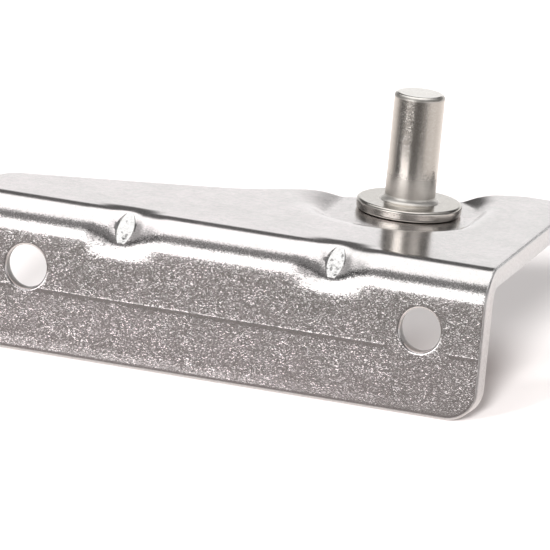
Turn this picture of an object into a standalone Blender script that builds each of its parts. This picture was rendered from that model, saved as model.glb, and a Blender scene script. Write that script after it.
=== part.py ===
"""Refrigerator door hinge: a folded and pressed steel bracket with a riveted hinge pin.

Units are metres and +Z is up, along the pin. The origin lies on the bracket's mounting face,
midway between its two screw holes. +X runs along the bracket towards the pin's end, and +Y
points away from the mounting face, the way the flange runs out.
"""
import math
from bisect import bisect_right

import bmesh
import bpy
from mathutils import Vector

MM = 0.001

# Sheet and fold
SHEET = 3.05 * MM
BEND_RADIUS = 5.0 * MM
FLANGE_TOP = 10.45 * MM
WALL_FOOT = -13.4 * MM
HALF_LENGTH = 42.1 * MM
WALL_CORNER = 5.0 * MM
EDGE_BREAK = 0.2 * MM

# Screw holes: punched from the mounting face, a little taller than wide
HOLE_SPACING = 63.5 * MM
HOLE_WIDTH = 6.5 * MM
HOLE_HEIGHT = 6.95 * MM
HOLE_ROLLOVER = 0.3 * MM
HOLE_LAND = 1.6 * MM
HOLE_BREAKOUT = 0.35 * MM

# Rear edge of the flange, in plan: x, y and slope, joined by smooth cubic stretches
REAR_EDGE = (
    (-42.1 * MM, 16.2 * MM, 0.39),
    (-9.0 * MM, 28.9 * MM, 0.42),
    (0.8 * MM, 35.3 * MM, 0.74),
    (9.5 * MM, 41.9 * MM, 0.68),
    (25.5 * MM, 49.8 * MM, 0.54),
    (34.0 * MM, 54.2 * MM, 0.08),
    (42.1 * MM, 54.2 * MM, 0.0),
)
REAR_CORNER = 5.0 * MM

# Dish pressed into the flange for the pin: a floor and a rim, each an oval with straight sides
# (its middle along X, where its two rounded ends begin, half its width, and the length of each end)
DISH_DEPTH = 1.3 * MM
DISH_CREASE = 2.0
DISH_FLOOR = (18.35 * MM, 29.0 * MM, 39.8 * MM, 10.65 * MM, 7.0 * MM, 10.65 * MM)
DISH_RIM = (16.6 * MM, 33.3 * MM, 42.0 * MM, 15.5 * MM, 16.8 * MM, 17.5 * MM)

# Gussets: dents punched across the fold, each with a flat lens left by the punch's nose
GUSSET_X = (-17.1 * MM, 16.8 * MM)
GUSSET_DENT = 0.9 * MM
GUSSET_REACH_X = 6.6 * MM
GUSSET_REACH_ARC = 6.1 * MM
GUSSET_PEAK = 0.5 * MM
GUSSET_PEAK_REACH = 2.9 * MM
NOSE_DEPTH = 3.62 * MM
NOSE_HALF_WIDTH = 1.25 * MM
NOSE_HALF_LENGTH = 3.75 * MM
NOSE_DRAFT = 0.6
NOSE_HEIGHT = 3.0 * MM

# Hinge pin: tip, bearing length, collar, rivet shank and spun head in one turned piece
PIN_X = 18.7 * MM
PIN_Y = 37.6 * MM
PIN_RADIUS = 3.97 * MM
PIN_LENGTH = 17.3 * MM
PIN_TIP = 0.65 * MM
PIN_FILLET = 0.7 * MM
COLLAR_RADIUS = 8.3 * MM
COLLAR_HEIGHT = 1.5 * MM
COLLAR_ROUND = 0.45 * MM
SHANK_RADIUS = 3.1 * MM
HEAD_RADIUS = 5.4 * MM
HEAD_HEIGHT = 1.3 * MM
SEAT_GAP = 0.3 * MM
PIN_SEGMENTS = 56
HOLE_SEGMENTS = 40
BEYOND = 1.0 * MM

# Steps of the sheet's grid
STEP_FINE = 1.1 * MM
STEP_DISH = 1.3 * MM
STEP_PLAIN = 3.2 * MM
CORNER_STEPS = 5
FLANGE_ROWS = 32
BEND_ROWS = 8
WALL_ROWS = 6

STEEL = (0.72, 0.71, 0.69, 1.0)
PIN_STEEL = (0.76, 0.73, 0.69, 1.0)


def clear_scene():
    for old in list(bpy.data.objects):
        bpy.data.objects.remove(old, do_unlink=True)


def add_collection(name):
    made = bpy.data.collections.new(name)
    bpy.context.scene.collection.children.link(made)
    return made


def steel_material(name, colour, roughness):
    made = bpy.data.materials.new(name)
    made.use_nodes = True
    shader = made.node_tree.nodes["Principled BSDF"]
    shader.inputs["Base Color"].default_value = colour
    shader.inputs["Metallic"].default_value = 1.0
    shader.inputs["Roughness"].default_value = roughness
    return made


def mesh_object(name, bm, collection):
    mesh = bpy.data.meshes.new(name)
    bm.to_mesh(mesh)
    bm.free()
    made = bpy.data.objects.new(name, mesh)
    collection.objects.link(made)
    return made


def bump(t):
    """1 at t = 0, falling smoothly to 0 at t = 1 and beyond."""
    return (1 - t * t) ** 2 if abs(t) < 1 else 0.0


def rear_curve(x):
    """The rear edge without its rounded corners: a cubic between each pair of outline points."""
    starts = [point[0] for point in REAR_EDGE]
    i = min(max(bisect_right(starts, x) - 1, 0), len(REAR_EDGE) - 2)
    x0, y0, m0 = REAR_EDGE[i]
    x1, y1, m1 = REAR_EDGE[i + 1]
    span = x1 - x0
    t = (x - x0) / span
    return (
        (2 * t**3 - 3 * t**2 + 1) * y0
        + (t**3 - 2 * t**2 + t) * span * m0
        + (3 * t**2 - 2 * t**3) * y1
        + (t**3 - t**2) * span * m1
    )


def rounded_end(x, edge, radius, slope):
    """An edge height at x, rounded by an arc where it meets the bracket's end on that side."""
    end_x = math.copysign(HALF_LENGTH, x)
    centre_x = end_x - math.copysign(radius, end_x)
    lean = math.atan(slope)
    touch_x = centre_x - radius * math.sin(lean)
    if (x - touch_x) * math.copysign(1, end_x) <= 0:
        return edge(x)
    centre_y = edge(centre_x) - radius / math.cos(lean)
    return centre_y + math.sqrt(max(radius**2 - (x - centre_x) ** 2, 0))


def rear_edge(x):
    slope = REAR_EDGE[0][2] if x < 0 else REAR_EDGE[-1][2]
    return rounded_end(x, rear_curve, REAR_CORNER, slope)


def lower_edge(x):
    """Height of the wall's foot, with a rounded corner at each end."""
    return -rounded_end(x, lambda _: -WALL_FOOT, WALL_CORNER, 0.0)


def past_oval(x, y, oval):
    """Roughly how far a point lies outside one of the dish's ovals; inside it is below 0."""
    middle, near, far, half_width, near_end, far_end = oval
    if y < near:
        along = (near - y) / near_end
    else:
        along = max(y - far, 0) / far_end
    return half_width * (math.hypot((x - middle) / half_width, along) - 1)


def dish_drop(x, y):
    """How far the flange is pressed down at a point."""
    past_floor = max(past_oval(x, y, DISH_FLOOR), 0)
    inside_rim = max(-past_oval(x, y, DISH_RIM), 0)
    if inside_rim == 0:
        return 0.0
    return DISH_DEPTH * (inside_rim / (past_floor + inside_rim)) ** DISH_CREASE


def skin_point(x, row):
    """A point of the bracket's outer skin: rows run over the flange, the fold and the wall."""
    quarter = math.pi / 2
    fold_length = BEND_RADIUS * quarter
    if row <= FLANGE_ROWS:
        run = rear_edge(x) - BEND_RADIUS
        back = run * (1 - row / FLANGE_ROWS)
        y = BEND_RADIUS + back
        point = Vector((x, y, FLANGE_TOP - dish_drop(x, y)))
        inward = Vector((0, 0, -1))
        along = -back - fold_length / 2
    elif row <= FLANGE_ROWS + BEND_ROWS:
        angle = quarter * (row - FLANGE_ROWS) / BEND_ROWS
        inward = Vector((0, math.sin(angle), -math.cos(angle)))
        centre = Vector((x, BEND_RADIUS, FLANGE_TOP - BEND_RADIUS))
        point = centre - inward * BEND_RADIUS
        along = BEND_RADIUS * angle - fold_length / 2
    else:
        top = FLANGE_TOP - BEND_RADIUS
        down = (top - lower_edge(x)) * (row - FLANGE_ROWS - BEND_ROWS) / WALL_ROWS
        point = Vector((x, 0, top - down))
        inward = Vector((0, 1, 0))
        along = fold_length / 2 + down
    return point + inward * sum(dent_depth(x - gusset, along) for gusset in GUSSET_X)


def dent_depth(across, along):
    """How far a gusset pushes the skin in: a wide dent with a sharper one in its middle."""
    wide = bump(across / GUSSET_REACH_X) * bump(along / GUSSET_REACH_ARC)
    peak = bump(across / GUSSET_PEAK_REACH) * bump(along / BEND_RADIUS)
    return GUSSET_DENT * wide + GUSSET_PEAK * peak


def column_step(x):
    middle, _, _, half_width, _, _ = DISH_RIM
    if any(abs(x - gusset) < GUSSET_REACH_X for gusset in GUSSET_X):
        return STEP_FINE
    if abs(x - middle) < half_width:
        return STEP_DISH
    return STEP_PLAIN


def column_places():
    """Places along X for the sheet's columns, closest where it is pressed or rounded."""
    quarter = math.pi / 2
    reaches = [
        WALL_CORNER * (1 - math.cos(quarter * k / CORNER_STEPS)) for k in range(CORNER_STEPS + 1)
    ]
    places = [-HALF_LENGTH + reach for reach in reaches]
    while places[-1] < HALF_LENGTH - WALL_CORNER - STEP_DISH:
        places.append(places[-1] + column_step(places[-1]))
    return places + [HALF_LENGTH - reach for reach in reversed(reaches)]


def folded_sheet(collection):
    """The blank as a grid, laid over the pressed outer skin and thickened inwards."""
    places = column_places()
    rows = FLANGE_ROWS + BEND_ROWS + WALL_ROWS
    bm = bmesh.new()
    bmesh.ops.create_grid(bm, x_segments=len(places) - 1, y_segments=rows, size=0.5)
    for vert in bm.verts:
        column = round((vert.co.x + 0.5) * (len(places) - 1))
        row = round((0.5 - vert.co.y) * rows)
        vert.co = skin_point(places[column], row)
    made = mesh_object("bracket", bm, collection)
    solid = made.modifiers.new("sheet", "SOLIDIFY")
    solid.thickness = SHEET
    solid.offset = -1
    edges = made.modifiers.new("broken_edges", "BEVEL")
    edges.width = EDGE_BREAK
    edges.segments = 1
    edges.limit_method = "ANGLE"
    edges.angle_limit = math.radians(60)
    return made


def as_cutter(made):
    made.hide_render = True
    made.display_type = "WIRE"
    return made


def turned(name, profile, segments, collection):
    """A solid turned about its Z axis from a profile of (radius, height), given top to bottom."""
    bm = bmesh.new()
    points = [bm.verts.new((radius, 0, height)) for radius, height in profile]
    for upper, lower in zip(points, points[1:]):
        bm.edges.new((upper, lower))
    made = mesh_object(name, bm, collection)
    screw = made.modifiers.new("turned", "SCREW")
    screw.axis = "Z"
    screw.steps = segments
    screw.render_steps = segments
    screw.use_merge_vertices = True
    screw.merge_threshold = 0.00001
    return made


def punched_hole(name, x, collection):
    """A screw hole's cutter: rollover at the mounting face, straight land, wider break-out."""
    radius = HOLE_HEIGHT / 2
    profile = (
        (0, BEYOND),
        (radius + HOLE_ROLLOVER, BEYOND),
        (radius + HOLE_ROLLOVER, 0),
        (radius, -HOLE_ROLLOVER),
        (radius, -HOLE_LAND),
        (radius + HOLE_BREAKOUT, -SHEET),
        (radius + HOLE_BREAKOUT, -SHEET - BEYOND),
        (0, -SHEET - BEYOND),
    )
    hole = as_cutter(turned(name, profile, HOLE_SEGMENTS, collection))
    hole.location = (x, 0, 0)
    hole.rotation_euler = (math.pi / 2, 0, 0)
    hole.scale = (HOLE_WIDTH / HOLE_HEIGHT, 1, 1)
    return hole


def rivet_hole(collection):
    """The clearance hole for the rivet shank, through the dish's floor."""
    radius = SHANK_RADIUS + SEAT_GAP
    top = FLANGE_TOP
    bottom = FLANGE_TOP - DISH_DEPTH - SHEET - BEYOND
    profile = ((0, top), (radius, top), (radius, bottom), (0, bottom))
    hole = as_cutter(turned("rivet_hole", profile, HOLE_SEGMENTS, collection))
    hole.location = (PIN_X, PIN_Y, 0)
    return hole


def punch_nose(name, x, collection):
    """The flat nose of the gusset punch, across the fold at 45 degrees: a drafted, pointed lens."""
    bm = bmesh.new()
    bmesh.ops.create_cone(
        bm,
        cap_ends=True,
        segments=HOLE_SEGMENTS,
        radius1=1.0,
        radius2=1.0,
        depth=NOSE_HEIGHT,
    )
    for vert in bm.verts:
        height = vert.co.z + NOSE_HEIGHT / 2
        half_width = NOSE_HALF_WIDTH + NOSE_DRAFT * height
        half_length = NOSE_HALF_LENGTH + NOSE_DRAFT * height
        vert.co = (half_width * vert.co.x * abs(vert.co.x), half_length * vert.co.y, height)
    nose = as_cutter(mesh_object(name, bm, collection))
    reach = NOSE_DEPTH * math.sqrt(0.5)
    nose.location = (x, reach, FLANGE_TOP - reach)
    nose.rotation_euler = (math.pi / 4, 0, 0)
    return nose


def cut(target, cutter):
    boolean = target.modifiers.new(cutter.name, "BOOLEAN")
    boolean.operation = "DIFFERENCE"
    boolean.solver = "EXACT"
    boolean.object = cutter


def build_bracket(parts, cutters):
    bracket = folded_sheet(parts)
    for side, x in (("left", -HOLE_SPACING / 2), ("right", HOLE_SPACING / 2)):
        cut(bracket, punched_hole("screw_hole_" + side, x, cutters))
    cut(bracket, rivet_hole(cutters))
    for side, x in zip(("left", "right"), GUSSET_X):
        cut(bracket, punch_nose("gusset_nose_" + side, x, cutters))
    return bracket


def quarter_arc(centre_radius, centre_height, size, start, steps):
    """Points of a quarter circle on a profile, from the start angle clockwise."""
    return [
        (
            centre_radius + size * math.cos(start - math.pi / 2 * k / steps),
            centre_height + size * math.sin(start - math.pi / 2 * k / steps),
        )
        for k in range(steps + 1)
    ]


def build_pin(parts):
    """The pin, its collar, its shank and its spun head, turned as one profile."""
    seat = FLANGE_TOP - DISH_DEPTH + SEAT_GAP
    collar_top = seat + COLLAR_HEIGHT
    tip = collar_top + PIN_LENGTH
    under = FLANGE_TOP - DISH_DEPTH - SHEET - SEAT_GAP
    foot = under - HEAD_HEIGHT
    profile = [(0, tip)]
    profile += quarter_arc(PIN_RADIUS - PIN_TIP, tip - PIN_TIP, PIN_TIP, math.pi / 2, 4)
    fillet = quarter_arc(
        PIN_RADIUS + PIN_FILLET, collar_top + PIN_FILLET, PIN_FILLET, -math.pi / 2, 3
    )
    profile += fillet[::-1]
    profile += quarter_arc(
        COLLAR_RADIUS - COLLAR_ROUND, collar_top - COLLAR_ROUND, COLLAR_ROUND, math.pi / 2, 3
    )
    profile += quarter_arc(
        COLLAR_RADIUS - COLLAR_ROUND, seat + COLLAR_ROUND, COLLAR_ROUND, 0, 3
    )
    profile += [(SHANK_RADIUS, seat), (SHANK_RADIUS, under), (HEAD_RADIUS, under)]
    steps = 5
    for k in range(1, steps):
        turn = math.pi / 2 * k / steps
        profile.append((HEAD_RADIUS * math.cos(turn), under - HEAD_HEIGHT * math.sin(turn)))
    profile.append((0, foot))
    pin = turned("hinge_pin", profile, PIN_SEGMENTS, parts)
    pin.location = (PIN_X, PIN_Y, 0)
    return pin


def finish(made, name, colour, roughness):
    made.data.materials.append(steel_material(name, colour, roughness))


def main():
    clear_scene()
    parts = add_collection("fridge_door_hinge")
    cutters = add_collection("cutters")
    finish(build_bracket(parts, cutters), "sheet_steel", STEEL, 0.32)
    finish(build_pin(parts), "pin_steel", PIN_STEEL, 0.2)


main()
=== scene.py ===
"""Looks of the refrigerator door hinge: the pressed steel bracket, its pin, and a plain studio.

Units are metres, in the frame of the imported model: the origin lies on the bracket's mounting
face, midway between its screw holes, with +X along the bracket, +Y away from the mounting face
and +Z up along the pin.
"""

import math
from bisect import bisect_right

import bmesh
import bpy
from mathutils import Matrix, Vector


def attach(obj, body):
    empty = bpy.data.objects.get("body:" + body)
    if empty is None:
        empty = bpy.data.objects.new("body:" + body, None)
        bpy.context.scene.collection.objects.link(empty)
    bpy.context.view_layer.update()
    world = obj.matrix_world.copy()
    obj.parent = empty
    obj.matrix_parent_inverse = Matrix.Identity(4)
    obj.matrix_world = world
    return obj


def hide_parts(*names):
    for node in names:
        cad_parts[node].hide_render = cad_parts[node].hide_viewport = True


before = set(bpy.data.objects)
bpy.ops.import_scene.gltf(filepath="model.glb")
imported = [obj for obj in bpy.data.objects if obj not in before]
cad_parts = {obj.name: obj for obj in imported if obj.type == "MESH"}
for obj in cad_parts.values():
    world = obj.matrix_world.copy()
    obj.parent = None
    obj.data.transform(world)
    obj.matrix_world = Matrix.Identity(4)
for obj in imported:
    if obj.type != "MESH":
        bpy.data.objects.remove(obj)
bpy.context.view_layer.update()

MM = 0.001
QUARTER = math.pi / 2

# Sheet and fold; the two ends reach as much further as their cut edges flare
SHEET = 3.05 * MM
BEND_RADIUS = 5.0 * MM
FLANGE_TOP = 10.45 * MM
WALL_FOOT = -13.4 * MM
END_FLARE = 0.25 * MM
HALF_LENGTH = 42.1 * MM - END_FLARE
CORNER = 5.0 * MM

# Cut edge of the sheet: rollover, smooth land and the torn rest. At the two ends it flares, by a
# small share of the flare at the land's end and by all of it at the edge's foot.
ROLLOVER_WIDTH = 0.4 * MM
ROLLOVER_DEPTH = 0.3 * MM
LAND_END = 1.7 * MM
LAND_FLARE = 0.1
BURR_BREAK = 0.12 * MM

# Screw holes, a little taller than wide: a round lip in front, a land, a wider break-out behind
HOLE_SPACING = 63.5 * MM
HOLE_WIDTH = 6.5 * MM
HOLE_HEIGHT = 6.95 * MM
HOLE_ROLLOVER = 0.35 * MM
HOLE_LAND = 1.7 * MM
HOLE_BREAKOUT = 0.35 * MM

# Rear edge of the flange, in plan: x, y and slope, joined by smooth cubic stretches
REAR_EDGE = (
    (-42.1 * MM, 16.2 * MM, 0.39),
    (-9.0 * MM, 28.9 * MM, 0.42),
    (0.8 * MM, 35.3 * MM, 0.74),
    (9.5 * MM, 41.9 * MM, 0.68),
    (25.5 * MM, 49.8 * MM, 0.54),
    (34.0 * MM, 54.2 * MM, 0.08),
    (42.1 * MM, 54.2 * MM, 0.0),
)

# Dish pressed into the flange for the pin: a floor and a rim, each an oval with straight sides
# (its middle along X, where its two rounded ends begin, half its width, and the length of each end).
# The slope between them is a power of the way down; a higher power rounds it off at the floor.
DISH_DEPTH = 1.3 * MM
DISH_CREASE = 2.0
DISH_FLOOR_ROUND = 6
DISH_FLOOR = (18.35 * MM, 29.0 * MM, 39.8 * MM, 10.65 * MM, 7.0 * MM, 10.65 * MM)
DISH_RIM = (16.6 * MM, 33.3 * MM, 42.0 * MM, 15.5 * MM, 16.8 * MM, 17.5 * MM)

# Gussets punched across the fold: a wide dent with a narrow peak, and the flat mark of the punch's
# pointed nose, which widens upwards by its draft
GUSSET_X = (-17.1 * MM, 16.8 * MM)
GUSSET_DENT = 0.9 * MM
GUSSET_REACH_X = 6.6 * MM
GUSSET_REACH_ARC = 6.1 * MM
NOSE_DEPTH = 3.62 * MM
NOSE_HALF_WIDTH = 1.25 * MM
NOSE_HALF_LENGTH = 3.75 * MM
NOSE_DRAFT = 0.6
NOSE_HEIGHT = 3.0 * MM
GUSSET_PEAK = 0.5 * MM
GUSSET_PEAK_REACH = 2.9 * MM

# Score line left on the wall by the folding die: its depth, which fades out below it, the lip above
# it, the mesh's rows near it (in millimetres below it), how far other rows stay away from those, and
# the gap in the line round the right screw hole
SCORE_Z = -3.12 * MM
SCORE_DEPTH = 0.022 * MM
SCORE_FADE = 0.6 * MM
SCORE_END = 8.0 * MM
SCORE_LIP = 0.009 * MM
SCORE_LIP_REACH = 0.35 * MM
SCORE_ROWS = (-0.35, -0.2, -0.08, 0, 0.08, 0.2, 0.35, 0.6, 0.8)
SCORE_GAP = 4.6 * MM
SCORE_GAP_FADE = 1.0 * MM
SCORE_CLEAR = 0.12 * MM

# Strip along the wall's foot that the shears pushed out a little, less so to the right. It is too
# shallow for the mesh, so the steel's bump makes it.
FOOT_STRIP = 2.6 * MM
FOOT_RISE = 0.055 * MM

# Hinge pin: a rounded tip, a fillet above the collar, a shank through the flange and a spun head.
# The collar's underside is sunk into most of the gap, so that it doesn't look afloat.
PIN_X = 18.7 * MM
PIN_Y = 37.6 * MM
PIN_RADIUS = 3.97 * MM
PIN_LENGTH = 17.3 * MM
PIN_TIP = 0.65 * MM
PIN_FILLET = 0.9 * MM
COLLAR_RADIUS = 8.3 * MM
COLLAR_HEIGHT = 1.5 * MM
COLLAR_ROUND = 0.45 * MM
COLLAR_SINK = 0.25 * MM
SHANK_RADIUS = 3.1 * MM
HEAD_RADIUS = 5.4 * MM
HEAD_HEIGHT = 1.3 * MM
SEAT_GAP = 0.3 * MM
COLLAR_SEAT = FLANGE_TOP - DISH_DEPTH + SEAT_GAP
COLLAR_TOP = COLLAR_SEAT + COLLAR_HEIGHT
PIN_END = COLLAR_TOP + PIN_LENGTH

# How far a cutter reaches beyond what it cuts, and how close to the corners of a turned profile its
# straights get the points that keep their shading flat
BEYOND = 1.0 * MM
HOLD = 0.06 * MM

# Fineness of the meshes: the sheet's step along X, its rows, the steps of arcs and full turns, how
# close a turned mesh's points merge, and the angles in degrees from which edges are sharp
STEP = 0.45 * MM
CORNER_STEPS = 10
FLANGE_ROWS = 72
BEND_ROWS = 24
WALL_ROWS = 26
ROLLOVER_STEPS = 4
TIP_STEPS = 8
FILLET_STEPS = 10
COLLAR_STEPS = 6
HEAD_STEPS = 12
HOLE_SEGMENTS = 96
PIN_SEGMENTS = 128
MERGE_DISTANCE = 0.01 * MM
SHEET_SHARP = 40
PIN_SHARP = 35

# How the looks of the steel are written. A noise is its scale per metre, its detail, its roughness
# and, where it isn't even, how much finer it is along each axis. A ramp is where it begins and ends,
# on a coordinate or a noise, and its values there. A band is where it begins and ends, and how far
# it fades out. Grains are their scale, their mean lean, a power above 1 where most of them lean
# less, and how much finer they are along each axis. A bump is its height and its strength. Tones
# are blended from the first to the second. Most noise lies between the two values below.
NOISE_LOW = 0.35
NOISE_HIGH = 0.65

# Sheet steel: its tone, its roughness, its grain, and the strip along the wall's foot
SHEET_TONES = ((0.92, 0.85, 0.855, 1), (0.73, 0.71, 0.695, 1))
SPECKLE = (1500, 4.0, 0.8)
SPECKLE_RAMP = (NOISE_LOW, NOISE_HIGH, 0.0, 0.7)
CLOUD = (110, 2.0, 0.5)
CLOUD_RAMP = (NOISE_LOW, NOISE_HIGH, 0.0, 0.3)
# Painted light in the sheet's colour: paler down the wall towards its foot
PAINTED_LIGHT_DOWNWARDS = (1.0 * MM, WALL_FOOT + 5.0 * MM, 0.0, 0.4)
# Painted shade in the sheet's colour: darker towards the right end
PAINTED_SHADE_RIGHTWARDS = (0.0, HALF_LENGTH, 0.0, 0.25)
MOTTLE = (420, 3.0, 0.5)
MOTTLE_ROUGHNESS = (0.3, 0.7, 0.15, 0.19)
MOTTLE_UPWARDS = (4.0 * MM, 7.0 * MM, 0.75, 1.0)
DULL_SPOTS = (5200, 1.0, 0.5)
DULL_ROUGHNESS = (0.45, 0.7, 0.0, 0.15)
DULL_UPWARDS = (4.0 * MM, 7.0 * MM, 0.15, 1.0)
GRAINY_DOWNWARDS = (FLANGE_TOP - 0.6 * MM, FLANGE_TOP - 2.6 * MM, 0.08, 1.0)
PATCHES = (350, 4.0, 0.7)
PATCHES_RAMP = (NOISE_LOW, NOISE_HIGH, 0.7, 1.28)
SHEET_GRAINS = (6400, 0.045, 1.5, (0.8, 1, 1.5))
FINE_GRAIN = (7000, 1.0, 0.6)
FINE_GRAIN_BUMP = (0.002 * MM, 1.0)
FOOT_RAMP = (WALL_FOOT + FOOT_STRIP, WALL_FOOT, 0.0, 1.0)
FOOT_GRAIN = (0.0, 0.6, 1.0, 0.55)
FOOT_POWER = 1.5
FOOT_RIGHTWARDS = (0.0, HALF_LENGTH, 1.0, 0.2)
FOOT_BUMP = (FOOT_RISE, 1.0)

# Sheared edge, inside of the screw holes, and the marks of the gusset punch
CUT_TONES = ((0.62, 0.59, 0.585, 1), (0.99, 0.965, 0.96, 1))
CUT_GRAIN = (2200, 4.0, 0.8)
CUT_GRAIN_RAMP = (NOISE_LOW, NOISE_HIGH, 0.0, 1.0)
CUT_GRAIN_SHARE = 0.45
# Painted shade on the cut edge: darker downwards and paler upwards
CUT_PAINTED_LIGHT_UPWARDS = (-4.0 * MM, 8.0 * MM, 0.0, 0.55)
CUT_ROUGHNESS = 0.28
CUT_BUMP = (0.05 * MM, 0.5)
# Inside the screw holes: grainy tones, darkened throughout by painted shade
PUNCHED_TONES_WITH_PAINTED_SHADE = ((0.16, 0.145, 0.135, 1), (0.42, 0.4, 0.39, 1))
PUNCHED_GRAIN = (1800, 3.0, 0.5)
PUNCHED_ROUGHNESS = 0.4
PUNCHED_BUMP = (0.05 * MM, 0.6)
MARK_TONES = ((0.62, 0.61, 0.6, 1), (0.9, 0.89, 0.88, 1))
MARK_GRAIN = (2500, 2.0, 0.5)
MARK_ROUGHNESS = 0.25
MARK_GRAINS = (2600, 0.11, 1.3, (1, 1, 1))
MARK_BUMP = (0.05 * MM, 0.8)

# Pin steel: its turning marks, painted highlights on its tip and fillet, and where it is duller
PIN_TONES = ((0.70, 0.66, 0.61, 1), (0.92, 0.885, 0.835, 1))
PIN_RINGS = (900, 2.0, 0.5, (1, 1, 6))
PIN_RINGS_SHARE = 0.35
PIN_RINGS_BUMP = (0.01 * MM, 0.4)
PIN_GRAINS = (5200, 0.02, 1.0, (1, 1, 0.8))
FILLET_BAND = (COLLAR_TOP + 0.1 * MM, COLLAR_TOP + PIN_FILLET, 0.09 * MM)
TIP_BAND = (PIN_END - PIN_TIP, PIN_END - 0.15 * MM, 0.1 * MM)
TIP_PAINTED_HIGHLIGHT = (PIN_END - 0.5 * MM, PIN_END, 0.0, 0.7)
BAND_DULL = 0.22
ABOVE_COLLAR = (COLLAR_TOP + 0.1 * MM, COLLAR_TOP + PIN_FILLET, 0.0, 1.0)
PIN_FOOT_DULL = (COLLAR_TOP + 0.9 * MM, COLLAR_TOP + 5.5 * MM, 0.33, 0.0)
PIN_ROUGHNESS = (COLLAR_TOP, COLLAR_TOP + 1.0 * MM, 0.21, 0.17)

# Studio, in pairs of a place and a level. The dome's strips, by their angle from the rear horizon
# over the top
DOME = (
    (0, 1.02),
    (17.0, 1.02),
    (23.0, 0.11),
    (49, 0.11),
    (54, 1.4),
    (116, 1.4),
    (121, 0.2),
    (149, 0.2),
    (154.5, 2.0),
    (180, 2.0),
)
# How much is left of the high strips, from the camera's left to its right
SIDES = (
    (-1, 0.2),
    (-0.65, 0.3),
    (-0.5, 1.0),
    (0.25, 1.0),
    (0.4, 0.3),
    (1, 0.1),
)
# How much is left of the low strips, by the angle round from straight in front towards +X
ROOM = (
    (-180, 1.0),
    (-160, 1.0),
    (-140, 0.6),
    (-110, 0.4),
    (-50, 0.35),
    (-38, 1.0),
    (-8, 1.0),
    (-1, 0.12),
    (28, 0.12),
    (42, 0.3),
    (70, 0.45),
    (110, 0.6),
    (150, 0.8),
    (172, 0.9),
    (180, 1.0),
)
# The table's level, by the same angle
TABLE = (
    (-180, 1.16),
    (-165, 1.25),
    (-119, 0.98),
    (-100, 0.76),
    (-85, 0.42),
    (-72, 0.13),
    (-60, 0.1),
    (-50, 0.12),
    (-42, 0.24),
    (-31, 0.35),
    (-22, 0.27),
    (-14, 0.235),
    (-2, 0.19),
    (15, 0.125),
    (32, 0.17),
    (50, 0.3),
    (60, 0.47),
    (69, 0.65),
    (95, 0.74),
    (115, 0.8),
    (149, 1.02),
    (180, 1.16),
)
# Which of the dome's strips are low ones, by their angle over the top
LOW_STRIPS = (
    (0, 1.0),
    (30, 1.0),
    (40, 0.0),
    (140, 0.0),
    (148, 1.0),
    (180, 1.0),
)
# By how far a direction points up or down: the table's soft edge, and its middle, straight below,
# which has one level all round
TABLE_EDGE = -0.155
TABLE_BLUR = 0.025
ABOVE_TABLE = ((-1.0, 0.0), (TABLE_EDGE - TABLE_BLUR, 0.0), (TABLE_EDGE, 1.0), (1.0, 1.0))
TABLE_MIDDLE = ((-1, 1), (-0.7, 1), (-0.42, 0), (1, 0))
TABLE_MIDDLE_LEVEL = 1.15
TABLE_TINT = (1, 0.94, 0.91, 1)
DOME_TINT = (1, 1, 1, 1)
# The least height of a direction, so that its angle over the top stays between 0 and 180
LEAST_RISE = 0.0001

# Two soft lamps before the bracket, by their angle round towards +X, their height, their softness
# and their strength: the key casts the grey shadow behind the right end, the fill lights the table
# behind the left screw hole. They light the table alone; the metal's light is the world's.
LAMPS = (
    ("key", 8, 20, 10, 5.8),
    ("fill", -17, 15, 10, 4.0),
)

# Floor: its colour, how far it reaches from its middle, and its gap below the wall's foot
FLOOR_COLOUR = (0.9, 0.858, 0.848, 1)
FLOOR_ROUGHNESS = 0.9
FLOOR_REACH = 1.5
FLOOR_GAP = 0.2 * MM

# Camera, from the photograph's perspective: its axes, where it stands from the origin along them,
# and its focal length in the photograph's pixels
CAMERA_RIGHT = Vector((0.95638, 0.27657, 0.09405))
CAMERA_UP = Vector((-0.15441, 0.20529, 0.96644))
CAMERA_BACK = Vector((0.24798, -0.93881, 0.23904))
CAMERA_SHIFT_RIGHT = 8.201 * MM
CAMERA_SHIFT_UP = 3.622 * MM
CAMERA_DISTANCE = 1540.8 * MM
CAMERA_REACH = 100
SENSOR = 36.0
PHOTO_PIXELS = 550
FOCAL_PIXELS = 10000
LENS = SENSOR * FOCAL_PIXELS / PHOTO_PIXELS


# Small shared tools


def link(made):
    bpy.context.scene.collection.objects.link(made)
    return made


def mesh_object(name, bm):
    mesh = bpy.data.meshes.new(name)
    bm.to_mesh(mesh)
    bm.free()
    return link(bpy.data.objects.new(name, mesh))


def settled(made):
    """Replaces an object's mesh by its evaluated one, with every modifier applied."""
    graph = bpy.context.evaluated_depsgraph_get()
    mesh = bpy.data.meshes.new_from_object(made.evaluated_get(graph))
    made.modifiers.clear()
    made.data = mesh
    return made


def bump(t):
    """1 at t = 0, falling smoothly to 0 at t = 1 and beyond."""
    return (1 - t * t) ** 2 if abs(t) < 1 else 0.0


def smooth(t):
    t = min(max(t, 0.0), 1.0)
    return t * t * (3 - 2 * t)


# Bracket


def rear_curve(x):
    """The rear edge without its rounded corners: a cubic between each pair of outline points."""
    starts = [point[0] for point in REAR_EDGE]
    i = min(max(bisect_right(starts, x) - 1, 0), len(REAR_EDGE) - 2)
    x0, y0, m0 = REAR_EDGE[i]
    x1, y1, m1 = REAR_EDGE[i + 1]
    span = x1 - x0
    t = (x - x0) / span
    return (
        (2 * t**3 - 3 * t**2 + 1) * y0
        + (t**3 - 2 * t**2 + t) * span * m0
        + (3 * t**2 - 2 * t**3) * y1
        + (t**3 - t**2) * span * m1
    )


def foot_curve(x):
    """The wall's lower edge as a distance below z = 0, so that it grows outwards."""
    return -WALL_FOOT


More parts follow.
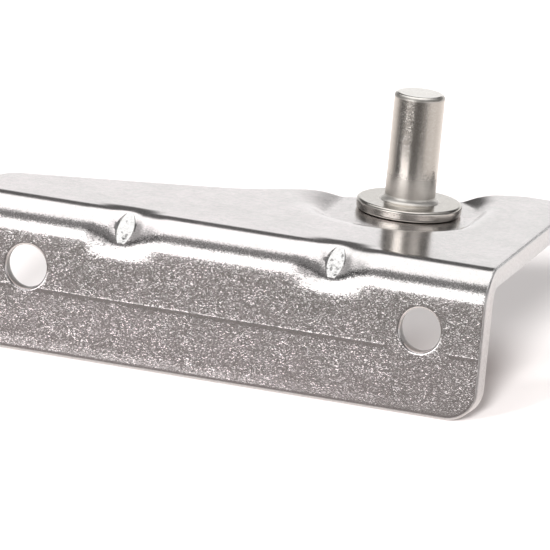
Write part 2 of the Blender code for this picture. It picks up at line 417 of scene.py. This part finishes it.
def corner_point(edge, side, along, out):
    """A point of a corner patch that fans out into a round corner.

    along runs from the patch's inner side to the bracket's end, out from its inner side to the
    edge; both are 0 to 1, and 1 is the outline. Returns x and the distance along the edge's axis.
    """
    inner_x = HALF_LENGTH - CORNER
    nudge = 0.1 * MM
    rise = edge(side * inner_x + nudge) - edge(side * inner_x - nudge)
    lean = math.atan(rise / (2 * nudge))
    centre = edge(side * inner_x) - CORNER / math.cos(lean)
    reach = max(along, out)
    if reach == 0:
        turn = 0.0
    elif out >= along:
        turn = QUARTER / 2 * along / out
    else:
        turn = QUARTER - QUARTER / 2 * out / along
    rim_x = inner_x + CORNER * math.sin(turn)
    rim = centre + CORNER * math.cos(turn)
    # Short of where the arc touches it, the edge itself is the outline
    touch = side * CORNER * -math.sin(lean)
    if rim_x - inner_x < touch:
        rim = edge(side * rim_x)
    base = edge(side * inner_x) - CORNER
    x = inner_x + (rim_x - inner_x) * reach
    return side * x, base + (rim - base) * reach


def past_oval(x, y, oval):
    """Roughly how far a point lies outside one of the dish's ovals; inside it is below 0."""
    middle, near, far, half_width, near_end, far_end = oval
    if y < near:
        along = (near - y) / near_end
    else:
        along = max(y - far, 0) / far_end
    return half_width * (math.hypot((x - middle) / half_width, along) - 1)


def dish_drop(x, y):
    """How far the flange is pressed down at a point; the slope meets the floor in a small round."""
    past_floor = max(past_oval(x, y, DISH_FLOOR), 0)
    inside_rim = max(-past_oval(x, y, DISH_RIM), 0)
    if inside_rim == 0:
        return 0.0
    share = inside_rim / (past_floor + inside_rim)
    round_off = DISH_CREASE * (1 - share) * share**DISH_FLOOR_ROUND
    return DISH_DEPTH * (share**DISH_CREASE + round_off)


def dent_depth(x, along):
    """How far the gussets push the skin in; along is measured round the fold from its middle."""
    return sum(
        GUSSET_DENT * bump((x - gusset) / GUSSET_REACH_X) * bump(along / GUSSET_REACH_ARC)
        + GUSSET_PEAK * bump((x - gusset) / GUSSET_PEAK_REACH) * bump(along / BEND_RADIUS)
        for gusset in GUSSET_X
    )


def scored(point):
    """The outer skin with its score line: a lip, a step in, and a floor that rises very gently.

    The line is missing round the right screw hole, where the punch's pad pressed the sheet flat.
    """
    below = SCORE_Z - point.z
    share = smooth((abs(point.x - HOLE_SPACING / 2) - SCORE_GAP) / SCORE_GAP_FADE)
    if below <= 0:
        rise = max(1 + below / SCORE_LIP_REACH, 0) ** 2
        return point + Vector((0, -share * SCORE_LIP * rise, 0))
    left = max(1 - below / SCORE_FADE, 0) ** 2
    step = SCORE_DEPTH * (1 - left) * (1 - smooth(below / SCORE_END))
    return point + Vector((0, share * (step - SCORE_LIP * left), 0))


def flange_point(x, y):
    back = y - BEND_RADIUS
    along = -back - BEND_RADIUS * QUARTER / 2
    z = FLANGE_TOP - dish_drop(x, y) - dent_depth(x, along)
    return Vector((x, y, z))


def bend_point(x, angle):
    inward = Vector((0, math.sin(angle), -math.cos(angle)))
    centre = Vector((x, BEND_RADIUS, FLANGE_TOP - BEND_RADIUS))
    along = BEND_RADIUS * (angle - QUARTER / 2)
    return centre - inward * (BEND_RADIUS - dent_depth(x, along))


def wall_point(x, z):
    down = FLANGE_TOP - BEND_RADIUS - z
    along = down + BEND_RADIUS * QUARTER / 2
    return Vector((x, dent_depth(x, along), z))


def corner_rings(inset):
    """Fractions 0 to 1 across a corner patch, the last of them short of the outline by inset."""
    last = 1 - inset / CORNER
    return [last * k / CORNER_STEPS for k in range(CORNER_STEPS + 1)]


def column_list():
    """The sheet's columns, each with its x, its side, and how far it lies into the corner patch.

    The side is -1 or 1 in the corner patches and 0 between them.
    """
    inner_x = HALF_LENGTH - CORNER
    steps = round(2 * inner_x / STEP)
    rings = corner_rings(ROLLOVER_WIDTH)
    columns = [(-inner_x, -1, ring) for ring in reversed(rings[1:])]
    columns += [(-inner_x + 2 * inner_x * k / steps, 0, 0.0) for k in range(steps + 1)]
    return columns + [(inner_x, 1, ring) for ring in rings[1:]]


def wall_heights():
    """Heights of the wall's plain rows, closest at the score line's lip."""
    top = FLANGE_TOP - BEND_RADIUS
    bottom = WALL_FOOT + CORNER
    plain = [top - (top - bottom) * k / WALL_ROWS for k in range(1, WALL_ROWS + 1)]
    score = [SCORE_Z - row * MM for row in SCORE_ROWS]
    kept = [z for z in plain if min(abs(z - edge) for edge in score) > SCORE_CLEAR]
    return sorted(kept + score, reverse=True)


def sheet_points(inset):
    """The outer skin as columns of points, from the rear edge over the fold to the wall's foot.

    It ends short of the outline by inset, and has the same columns and rows for every inset.
    """
    rings = corner_rings(inset)
    heights = wall_heights()
    grid = []
    for x, side, ring in column_list():
        share = ring * rings[-1] / (1 - ROLLOVER_WIDTH / CORNER)
        column = []
        for out in reversed(rings):
            if side:
                place_x, y = corner_point(rear_curve, side, share, out)
            else:
                place_x, y = x, rear_curve(x) - CORNER * (1 - out)
            column.append(flange_point(place_x, y))
        band_x, band_y = column[-1].x, column[-1].y
        for k in range(1, FLANGE_ROWS + 1):
            y = band_y + (BEND_RADIUS - band_y) * k / FLANGE_ROWS
            column.append(flange_point(band_x, y))
        for k in range(1, BEND_ROWS + 1):
            column.append(bend_point(band_x, QUARTER * k / BEND_ROWS))
        for z in heights:
            column.append(wall_point(band_x, z))
        for out in rings[1:]:
            if side:
                place_x, down = corner_point(foot_curve, side, share, out)
            else:
                place_x, down = x, -WALL_FOOT - CORNER * (1 - out)
            column.append(wall_point(place_x, -down))
        grid.append(column)
    return grid


def perimeter(columns, rows):
    """Indices of the grid's outermost points, once round."""
    walk = [(i, 0) for i in range(columns - 1)]
    walk += [(columns - 1, j) for j in range(rows - 1)]
    walk += [(i, rows - 1) for i in range(columns - 1, 0, -1)]
    return walk + [(0, j) for j in range(rows - 1, 0, -1)]


def skin_normals(grid):
    """Outward normals of a grid of points, by differences between neighbours."""
    columns, rows = len(grid), len(grid[0])
    normals = []
    for i in range(columns):
        column = []
        for j in range(rows):
            along_x = grid[min(i + 1, columns - 1)][j] - grid[max(i - 1, 0)][j]
            along_row = grid[i][min(j + 1, rows - 1)] - grid[i][max(j - 1, 0)]
            column.append(along_row.cross(along_x).normalized())
        normals.append(column)
    return normals


def cut_profile():
    """The cut edge's section: share of the rollover's width, flare and depth below the skin."""
    profile = []
    for k in range(1, ROLLOVER_STEPS + 1):
        turn = QUARTER * k / ROLLOVER_STEPS
        profile.append((math.sin(turn), 0.0, ROLLOVER_DEPTH * (1 - math.cos(turn))))
    profile.append((1.0, LAND_FLARE, LAND_END))
    profile.append((1.0, 1.0, SHEET - BURR_BREAK))
    profile.append((1.0 - BURR_BREAK / ROLLOVER_WIDTH, 1.0, SHEET))
    return profile


def build_blank():
    """The folded sheet without its holes: outer skin, cut edge all round, inner skin."""
    skin = sheet_points(ROLLOVER_WIDTH)
    outline = sheet_points(0.0)
    normals = skin_normals(skin)
    columns, rows = len(skin), len(skin[0])
    bm = bmesh.new()
    outer = [[bm.verts.new(scored(point)) for point in column] for column in skin]
    inner = [
        [bm.verts.new(skin[i][j] - normals[i][j] * SHEET) for j in range(rows)]
        for i in range(columns)
    ]
    for i in range(columns - 1):
        for j in range(rows - 1):
            bm.faces.new((outer[i][j], outer[i][j + 1], outer[i + 1][j + 1], outer[i + 1][j]))
            bm.faces.new((inner[i][j], inner[i + 1][j], inner[i + 1][j + 1], inner[i][j + 1]))
    walk = perimeter(columns, rows)
    rings = [[outer[i][j] for i, j in walk]]
    for share, flare, depth in cut_profile():
        ring = []
        for i, j in walk:
            out = outline[i][j] - skin[i][j]
            end = Vector((math.copysign(END_FLARE * flare * abs(out.normalized().x), out.x), 0, 0))
            ring.append(bm.verts.new(skin[i][j] + out * share + end - normals[i][j] * depth))
        rings.append(ring)
    rings.append([inner[i][j] for i, j in walk])
    for upper, lower in zip(rings, rings[1:]):
        for k in range(len(walk)):
            after = (k + 1) % len(walk)
            face = bm.faces.new((upper[k], upper[after], lower[after], lower[k]))
            face.material_index = 1
    bmesh.ops.recalc_face_normals(bm, faces=bm.faces)
    return mesh_object("bracket_sheet", bm)


def held(profile):
    """The profile with a point close to each end of its long straights, so that they shade flat."""
    points = [profile[0]]
    for start, end in zip(profile, profile[1:]):
        length = math.hypot(end[0] - start[0], end[1] - start[1])
        if length > 4 * HOLD:
            for share in (HOLD / length, 1 - HOLD / length):
                points.append(
                    (
                        start[0] + (end[0] - start[0]) * share,
                        start[1] + (end[1] - start[1]) * share,
                    )
                )
        points.append(end)
    return points


def turned(name, profile, segments):
    """A solid turned about its Z axis from a profile of (radius, height), given top to bottom."""
    bm = bmesh.new()
    points = [bm.verts.new((radius, 0, height)) for radius, height in held(profile)]
    for upper, lower in zip(points, points[1:]):
        bm.edges.new((upper, lower))
    made = mesh_object(name, bm)
    screw = made.modifiers.new("turned", "SCREW")
    screw.axis = "Z"
    screw.steps = segments
    screw.render_steps = segments
    screw.use_merge_vertices = True
    screw.merge_threshold = MERGE_DISTANCE
    return made


def punched_hole(name, x):
    """A screw hole's cutter: round rollover at the mounting face, land, wider break-out."""
    radius = HOLE_HEIGHT / 2
    profile = [(0, BEYOND), (radius + HOLE_ROLLOVER, BEYOND)]
    for k in range(ROLLOVER_STEPS + 1):
        turn = QUARTER * k / ROLLOVER_STEPS
        wide = radius + HOLE_ROLLOVER * (1 - math.sin(turn))
        profile.append((wide, -HOLE_ROLLOVER * (1 - math.cos(turn))))
    profile += [
        (radius, -HOLE_LAND),
        (radius + HOLE_BREAKOUT, -SHEET),
        (radius + HOLE_BREAKOUT, -SHEET - BEYOND),
        (0, -SHEET - BEYOND),
    ]
    hole = turned(name, profile, HOLE_SEGMENTS)
    hole.location = (x, 0, 0)
    hole.rotation_euler = (QUARTER, 0, 0)
    hole.scale = (HOLE_WIDTH / HOLE_HEIGHT, 1, 1)
    return hole


def rivet_hole():
    """The hole for the rivet shank, through the dish's floor."""
    radius = SHANK_RADIUS + SEAT_GAP
    bottom = FLANGE_TOP - DISH_DEPTH - SHEET - BEYOND
    profile = ((0, FLANGE_TOP), (radius, FLANGE_TOP), (radius, bottom), (0, bottom))
    hole = turned("rivet_hole", profile, HOLE_SEGMENTS)
    hole.location = (PIN_X, PIN_Y, 0)
    return hole


def punch_nose(name, x):
    """The flat nose of the gusset punch, across the fold at 45 degrees: a drafted, pointed lens."""
    bm = bmesh.new()
    bmesh.ops.create_cone(
        bm,
        cap_ends=True,
        segments=HOLE_SEGMENTS,
        radius1=1.0,
        radius2=1.0,
        depth=NOSE_HEIGHT,
    )
    for vert in bm.verts:
        height = vert.co.z + NOSE_HEIGHT / 2
        half_width = NOSE_HALF_WIDTH + NOSE_DRAFT * height
        half_length = NOSE_HALF_LENGTH + NOSE_DRAFT * height
        # Squaring x makes the round section a lens with a point at either end
        vert.co = (half_width * vert.co.x * abs(vert.co.x), half_length * vert.co.y, height)
    nose = mesh_object(name, bm)
    reach = NOSE_DEPTH * math.sqrt(0.5)
    nose.location = (x, reach, FLANGE_TOP - reach)
    nose.rotation_euler = (QUARTER / 2, 0, 0)
    return nose


def coloured(made, material, lip=None, lip_above=0.0):
    """Gives a cutter's faces their material, and another one to a lip above a height of its own."""
    settled(made)
    made.data.materials.append(material)
    if lip:
        made.data.materials.append(lip)
        for face in made.data.polygons:
            face.material_index = int(face.center.z > lip_above)
    return made


def build_bracket(steel, cut_face, punched, die_mark):
    bracket = build_blank()
    for material in (steel, cut_face, punched, die_mark):
        bracket.data.materials.append(material)
    cutters = []
    for name, x in (("left", -HOLE_SPACING / 2), ("right", HOLE_SPACING / 2)):
        hole = punched_hole("screw_hole_" + name, x)
        cutters.append(coloured(hole, punched, steel, -HOLE_ROLLOVER))
    cutters.append(coloured(rivet_hole(), cut_face))
    for name, x in zip(("left", "right"), GUSSET_X):
        cutters.append(coloured(punch_nose("gusset_nose_" + name, x), die_mark))
    for cutter in cutters:
        boolean = bracket.modifiers.new(cutter.name, "BOOLEAN")
        boolean.operation = "DIFFERENCE"
        boolean.solver = "EXACT"
        boolean.material_mode = "TRANSFER"
        boolean.object = cutter
    settled(bracket)
    for cutter in cutters:
        bpy.data.objects.remove(cutter, do_unlink=True)
    bracket.data.shade_smooth()
    bracket.data.set_sharp_from_angle(angle=math.radians(SHEET_SHARP))
    return bracket


# Pin


def quarter_arc(centre_radius, centre_height, size, start, steps):
    """Points of a quarter circle on a profile, from the start angle clockwise."""
    return [
        (
            centre_radius + size * math.cos(start - QUARTER * k / steps),
            centre_height + size * math.sin(start - QUARTER * k / steps),
        )
        for k in range(steps + 1)
    ]


def build_pin(steel):
    """The pin, its collar, its shank and its spun head, turned as one profile."""
    sunk = COLLAR_SEAT - COLLAR_SINK
    under = FLANGE_TOP - DISH_DEPTH - SHEET - SEAT_GAP
    rim = COLLAR_RADIUS - COLLAR_ROUND
    fillet = quarter_arc(
        PIN_RADIUS + PIN_FILLET, COLLAR_TOP + PIN_FILLET, PIN_FILLET, -QUARTER, FILLET_STEPS
    )
    profile = [(0, PIN_END)]
    profile += quarter_arc(PIN_RADIUS - PIN_TIP, PIN_END - PIN_TIP, PIN_TIP, QUARTER, TIP_STEPS)
    profile += fillet[::-1]
    profile += quarter_arc(rim, COLLAR_TOP - COLLAR_ROUND, COLLAR_ROUND, QUARTER, COLLAR_STEPS)
    profile += quarter_arc(rim, sunk + COLLAR_ROUND, COLLAR_ROUND, 0, COLLAR_STEPS)
    profile += [(SHANK_RADIUS, sunk), (SHANK_RADIUS, under), (HEAD_RADIUS, under)]
    for k in range(1, HEAD_STEPS):
        turn = QUARTER * k / HEAD_STEPS
        profile.append((HEAD_RADIUS * math.cos(turn), under - HEAD_HEIGHT * math.sin(turn)))
    profile.append((0, under - HEAD_HEIGHT))
    pin = turned("pin_turned", profile, PIN_SEGMENTS)
    settled(pin)
    pin.data.transform(Matrix.Translation((PIN_X, PIN_Y, 0)))
    pin.data.materials.append(steel)
    pin.data.shade_smooth()
    pin.data.set_sharp_from_angle(angle=math.radians(PIN_SHARP))
    return pin


# Node trees


class Tree:
    """Short ways to add nodes to a node tree. A value is a constant or another node's output."""

    def __init__(self, tree):
        self.tree = tree

    def fill(self, node, inputs):
        """Gives a node's inputs, by name or number, their values."""
        for key, value in inputs.items():
            if isinstance(value, bpy.types.NodeSocket):
                self.tree.links.new(value, node.inputs[key])
            else:
                node.inputs[key].default_value = value
        return node

    def add(self, kind, inputs, operation=None):
        node = self.tree.nodes.new(kind)
        if operation:
            node.operation = operation
        return self.fill(node, inputs)

    def axes(self, vector):
        """The X, Y and Z of a vector, as values."""
        return self.add("ShaderNodeSeparateXYZ", {"Vector": vector}).outputs

    def math(self, operation, *values):
        return self.add("ShaderNodeMath", dict(enumerate(values)), operation).outputs[0]

    def product(self, first, second):
        return self.math("MULTIPLY", first, second)

    def total(self, first, second):
        return self.math("ADD", first, second)

    def weighted(self, first, first_share, second, second_share):
        return self.total(self.product(first, first_share), self.product(second, second_share))

    def mixed(self, first, second, share):
        """The first value where share is 0 and the second where it is 1."""
        start = self.product(first, self.math("SUBTRACT", 1.0, share))
        return self.total(start, self.product(second, share))

    def blend(self, share, first, second):
        """A colour, the first where share is 0 and the second where it is 1."""
        node = self.add("ShaderNodeMix", {})
        node.data_type = "RGBA"
        return self.fill(node, {0: share, 6: first, 7: second}).outputs[2]

    def remap(self, value, low, high, to_low, to_high):
        inputs = {"From Min": low, "From Max": high, "To Min": to_low, "To Max": to_high}
        return self.add("ShaderNodeMapRange", {"Value": value, **inputs}).outputs["Result"]

    def between(self, value, low, high, fade):
        """1 between two values, fading out below and above them."""
        above = self.remap(value, low - fade, low, 0.0, 1.0)
        return self.product(above, self.remap(value, high, high + fade, 1.0, 0.0))

    def ramp(self, value, stops):
        """Grey levels along a value, as (place, level) pairs; levels above 1 are allowed."""
        low, high = stops[0][0], stops[-1][0]
        peak = max(level for _, level in stops)
        share = self.math("DIVIDE", self.math("SUBTRACT", value, low), high - low)
        node = self.add("ShaderNodeValToRGB", {"Fac": share})
        elements = node.color_ramp.elements
        elements.remove(elements[-1])
        for k, (place, level) in enumerate(stops):
            element = elements[0] if k == 0 else elements.new((place - low) / (high - low))
            element.position = (place - low) / (high - low)
            element.color = (level / peak, level / peak, level / peak, 1)
        return self.product(node.outputs["Color"], peak)


class Metal(Tree):
    """A metal's node tree, with textures in the part's own coordinates."""

    def __init__(self, name):
        self.material = bpy.data.materials.new(name)
        self.material.use_nodes = True
        super().__init__(self.material.node_tree)
        self.coordinates = self.add("ShaderNodeTexCoord", {}).outputs["Object"]

    def axis(self, name):
        """One of the part's coordinates."""
        return self.axes(self.coordinates)[name]

    def stretched(self, stretch):
        """The part's coordinates, scaled along their axes."""
        inputs = {"Vector": self.coordinates, "Scale": stretch}
        return self.add("ShaderNodeMapping", inputs).outputs["Vector"]

    def noise(self, scale, detail, roughness, stretch=(1, 1, 1)):
        inputs = {"Scale": scale, "Detail": detail, "Roughness": roughness}
        inputs["Vector"] = self.stretched(stretch)
        return self.add("ShaderNodeTexNoise", inputs).outputs["Fac"]

    def vector(self, operation, *values):
        return self.add("ShaderNodeVectorMath", dict(enumerate(values)), operation).outputs[0]

    def cells(self, scale, tilt, power, stretch, share=1.0):
        """A normal that leans its own way on each grain, by tilt times share on average.

        A power above 1 makes most of the grains lean less than that.
        """
        inputs = {"Vector": self.stretched(stretch), "Scale": scale}
        own = self.add("ShaderNodeTexVoronoi", inputs).outputs["Color"]
        way = self.vector("NORMALIZE", self.vector("SUBTRACT", own, (0.5, 0.5, 0.5)))
        lean = self.product(self.math("POWER", self.axes(own)["X"], power), 2 * tilt)
        lean = self.product(lean, share)
        leaning = self.add("ShaderNodeVectorMath", {0: way, "Scale": lean}, "SCALE").outputs[0]
        normal = self.add("ShaderNodeNewGeometry", {}).outputs["Normal"]
        return self.vector("NORMALIZE", self.vector("ADD", normal, leaning))

    def bump(self, height, distance, strength, before=None):
        """A bumped normal, on top of another one where there is one before it."""
        inputs = {"Height": height, "Distance": distance, "Strength": strength}
        if before:
            inputs["Normal"] = before
        return self.add("ShaderNodeBump", inputs).outputs["Normal"]

    def finished(self, colour, roughness, normal):
        """The material with its colour, roughness and normal filled in."""
        inputs = {"Metallic": 1.0, "Base Color": colour, "Roughness": roughness, "Normal": normal}
        self.fill(self.tree.nodes["Principled BSDF"], inputs)
        return self.material


# Materials


def sheet_steel():
    """Bright mill-finish sheet, smooth on the flange and sparkling with grain below the fold."""
    metal = Metal("sheet_steel_bright")
    height = metal.axis("Z")
    place = metal.axis("X")
    speckle = metal.remap(metal.noise(*SPECKLE), *SPECKLE_RAMP)
    cloud = metal.remap(metal.noise(*CLOUD), *CLOUD_RAMP)
    # Painted light: the wall's colour grows paler towards its foot
    painted_light = metal.remap(height, *PAINTED_LIGHT_DOWNWARDS)
    # Painted shade: the colour grows darker towards the right end
    darker = metal.remap(place, *PAINTED_SHADE_RIGHTWARDS)
    shade = metal.total(metal.math("SUBTRACT", metal.total(speckle, cloud), painted_light), darker)
    grainy = metal.remap(height, *GRAINY_DOWNWARDS)
    mottle = metal.remap(metal.noise(*MOTTLE), *MOTTLE_ROUGHNESS)
    mottle = metal.product(mottle, metal.remap(height, *MOTTLE_UPWARDS))
    dull = metal.remap(metal.noise(*DULL_SPOTS), *DULL_ROUGHNESS)
    dull = metal.product(dull, metal.remap(height, *DULL_UPWARDS))
    rough = metal.total(mottle, metal.product(dull, grainy))
    foot = metal.remap(height, *FOOT_RAMP)
    share = metal.product(grainy, metal.remap(metal.noise(*PATCHES), *PATCHES_RAMP))
    share = metal.product(share, metal.remap(foot, *FOOT_GRAIN))
    grains = metal.bump(metal.noise(*FINE_GRAIN), *FINE_GRAIN_BUMP, metal.cells(*SHEET_GRAINS, share))
    rise = metal.product(metal.math("POWER", foot, FOOT_POWER), metal.remap(place, *FOOT_RIGHTWARDS))
    return metal.finished(metal.blend(shade, *SHEET_TONES), rough, metal.bump(rise, *FOOT_BUMP, grains))


def cut_steel():
    """Sheared edge: dull and grainy, darker downwards and paler upwards by painted shade."""
    metal = Metal("sheet_steel_cut")
    grain = metal.remap(metal.noise(*CUT_GRAIN), *CUT_GRAIN_RAMP)
    # Painted shade: the cut edge's colour darker low down, paler higher up
    painted_light = metal.remap(metal.axis("Z"), *CUT_PAINTED_LIGHT_UPWARDS)
    light = metal.total(painted_light, metal.product(grain, CUT_GRAIN_SHARE))
    normal = metal.bump(grain, *CUT_BUMP)
    return metal.finished(metal.blend(light, *CUT_TONES), CUT_ROUGHNESS, normal)


def punched_steel():
    """Inside the screw holes: torn and dull, grainy in tone, and darker than the cut edge by painted
    shade.
    """
    metal = Metal("sheet_steel_punched")
    grain = metal.noise(*PUNCHED_GRAIN)
    normal = metal.bump(grain, *PUNCHED_BUMP)
    return metal.finished(metal.blend(grain, *PUNCHED_TONES_WITH_PAINTED_SHADE), PUNCHED_ROUGHNESS, normal)


def die_marked_steel():
    """Where the gusset punch landed: flattened and speckled."""
    metal = Metal("sheet_steel_die_marked")
    grain = metal.noise(*MARK_GRAIN)
    normal = metal.bump(grain, *MARK_BUMP, metal.cells(*MARK_GRAINS))
    return metal.finished(metal.blend(grain, *MARK_TONES), MARK_ROUGHNESS, normal)


def pin_steel():
    """Turned and tumbled pin: satin and slightly warm, duller round its tip and towards its foot."""
    metal = Metal("pin_steel_turned")
    height = metal.axis("Z")
    rings = metal.noise(*PIN_RINGS)
    # Painted highlights: the fillet band and the tip's last half millimetre are paler in colour
    fillet = metal.between(height, *FILLET_BAND)
    painted_highlight = metal.math("MAXIMUM", fillet, metal.remap(height, *TIP_PAINTED_HIGHLIGHT))
    light = metal.total(metal.product(rings, PIN_RINGS_SHARE), painted_highlight)
    bands = metal.math("MAXIMUM", fillet, metal.between(height, *TIP_BAND))
    foot = metal.product(metal.remap(height, *PIN_FOOT_DULL), metal.remap(height, *ABOVE_COLLAR))
    dull = metal.math("MAXIMUM", metal.product(bands, BAND_DULL), foot)
    rough = metal.total(metal.remap(height, *PIN_ROUGHNESS), dull)
    normal = metal.bump(rings, *PIN_RINGS_BUMP, metal.cells(*PIN_GRAINS))
    return metal.finished(metal.blend(light, *PIN_TONES), rough, normal)


# Studio


def matte_material(name, colour, roughness):
    made = bpy.data.materials.new(name)
    made.use_nodes = True
    shader = made.node_tree.nodes["Principled BSDF"]
    shader.inputs["Base Color"].default_value = colour
    shader.inputs["Roughness"].default_value = roughness
    shader.inputs["Specular IOR Level"].default_value = 0.0
    return made


def build_floor():
    """A pale table. The metal doesn't mirror it, but the table of the studio's world round it."""
    bm = bmesh.new()
    bmesh.ops.create_grid(bm, x_segments=1, y_segments=1, size=FLOOR_REACH)
    floor = mesh_object("floor", bm)
    floor.location = (0, 0, WALL_FOOT - FLOOR_GAP)
    floor.data.materials.append(matte_material("floor_pale", FLOOR_COLOUR, FLOOR_ROUGHNESS))
    floor.visible_glossy = False
    return floor


def build_world():
    """A soft dome of long strips, brightest low in front, over a table that is darker in front."""
    world = bpy.data.worlds.new("studio")
    bpy.context.scene.world = world
    world.use_nodes = True
    nodes = Tree(world.node_tree)
    x, y, z = nodes.axes(nodes.add("ShaderNodeTexCoord", {}).outputs["Generated"])
    turn = math.atan2(CAMERA_BACK.x, -CAMERA_BACK.y)
    away = nodes.weighted(y, math.cos(turn), x, -math.sin(turn))
    side = nodes.weighted(x, math.cos(turn), y, math.sin(turn))
    over = nodes.math("DEGREES", nodes.math("ARCTAN2", nodes.math("MAXIMUM", z, LEAST_RISE), away))
    round_front = nodes.math("DEGREES", nodes.math("ARCTAN2", x, nodes.product(y, -1.0)))
    low_strips = nodes.ramp(over, LOW_STRIPS)
    share = nodes.mixed(nodes.ramp(side, SIDES), nodes.ramp(round_front, ROOM), low_strips)
    dome = nodes.product(nodes.ramp(over, DOME), share)
    middle = nodes.ramp(z, TABLE_MIDDLE)
    table = nodes.mixed(nodes.ramp(round_front, TABLE), TABLE_MIDDLE_LEVEL, middle)
    above = nodes.ramp(z, ABOVE_TABLE)
    light = {
        "Strength": nodes.mixed(table, dome, above),
        "Color": nodes.blend(above, TABLE_TINT, DOME_TINT),
    }
    nodes.fill(world.node_tree.nodes["Background"], light)


def build_lamps(floor):
    """Soft sun lamps that light the floor alone, by light linking."""
    lit = bpy.data.collections.new("lit_by_the_lamps")
    lit.objects.link(floor)
    for name, turn, height, softness, strength in LAMPS:
        data = bpy.data.lights.new(name, "SUN")
        data.energy = strength
        data.angle = math.radians(softness)
        lamp = link(bpy.data.objects.new(name, data))
        lamp.light_linking.receiver_collection = lit
        lamp.rotation_euler = (math.radians(90 - height), 0, math.radians(turn))


def build_camera():
    data = bpy.data.cameras.new("camera")
    data.sensor_width = SENSOR
    data.lens = LENS
    data.clip_end = CAMERA_REACH
    camera = link(bpy.data.objects.new("camera", data))
    spot = (
        CAMERA_RIGHT * CAMERA_SHIFT_RIGHT
        + CAMERA_UP * CAMERA_SHIFT_UP
        + CAMERA_BACK * CAMERA_DISTANCE
    )
    turn = Matrix((CAMERA_RIGHT, CAMERA_UP, CAMERA_BACK)).transposed()
    camera.matrix_world = Matrix.Translation(spot) @ turn.to_4x4()
    bpy.context.scene.camera = camera


def main():
    scene = bpy.context.scene
    scene.view_settings.view_transform = "Standard"
    build_camera()
    build_world()
    build_lamps(build_floor())
    bracket = build_bracket(sheet_steel(), cut_steel(), punched_steel(), die_marked_steel())
    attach(bracket, "root")
    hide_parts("bracket")
    pin = build_pin(pin_steel())
    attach(pin, "root")
    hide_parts("hinge_pin")


main()
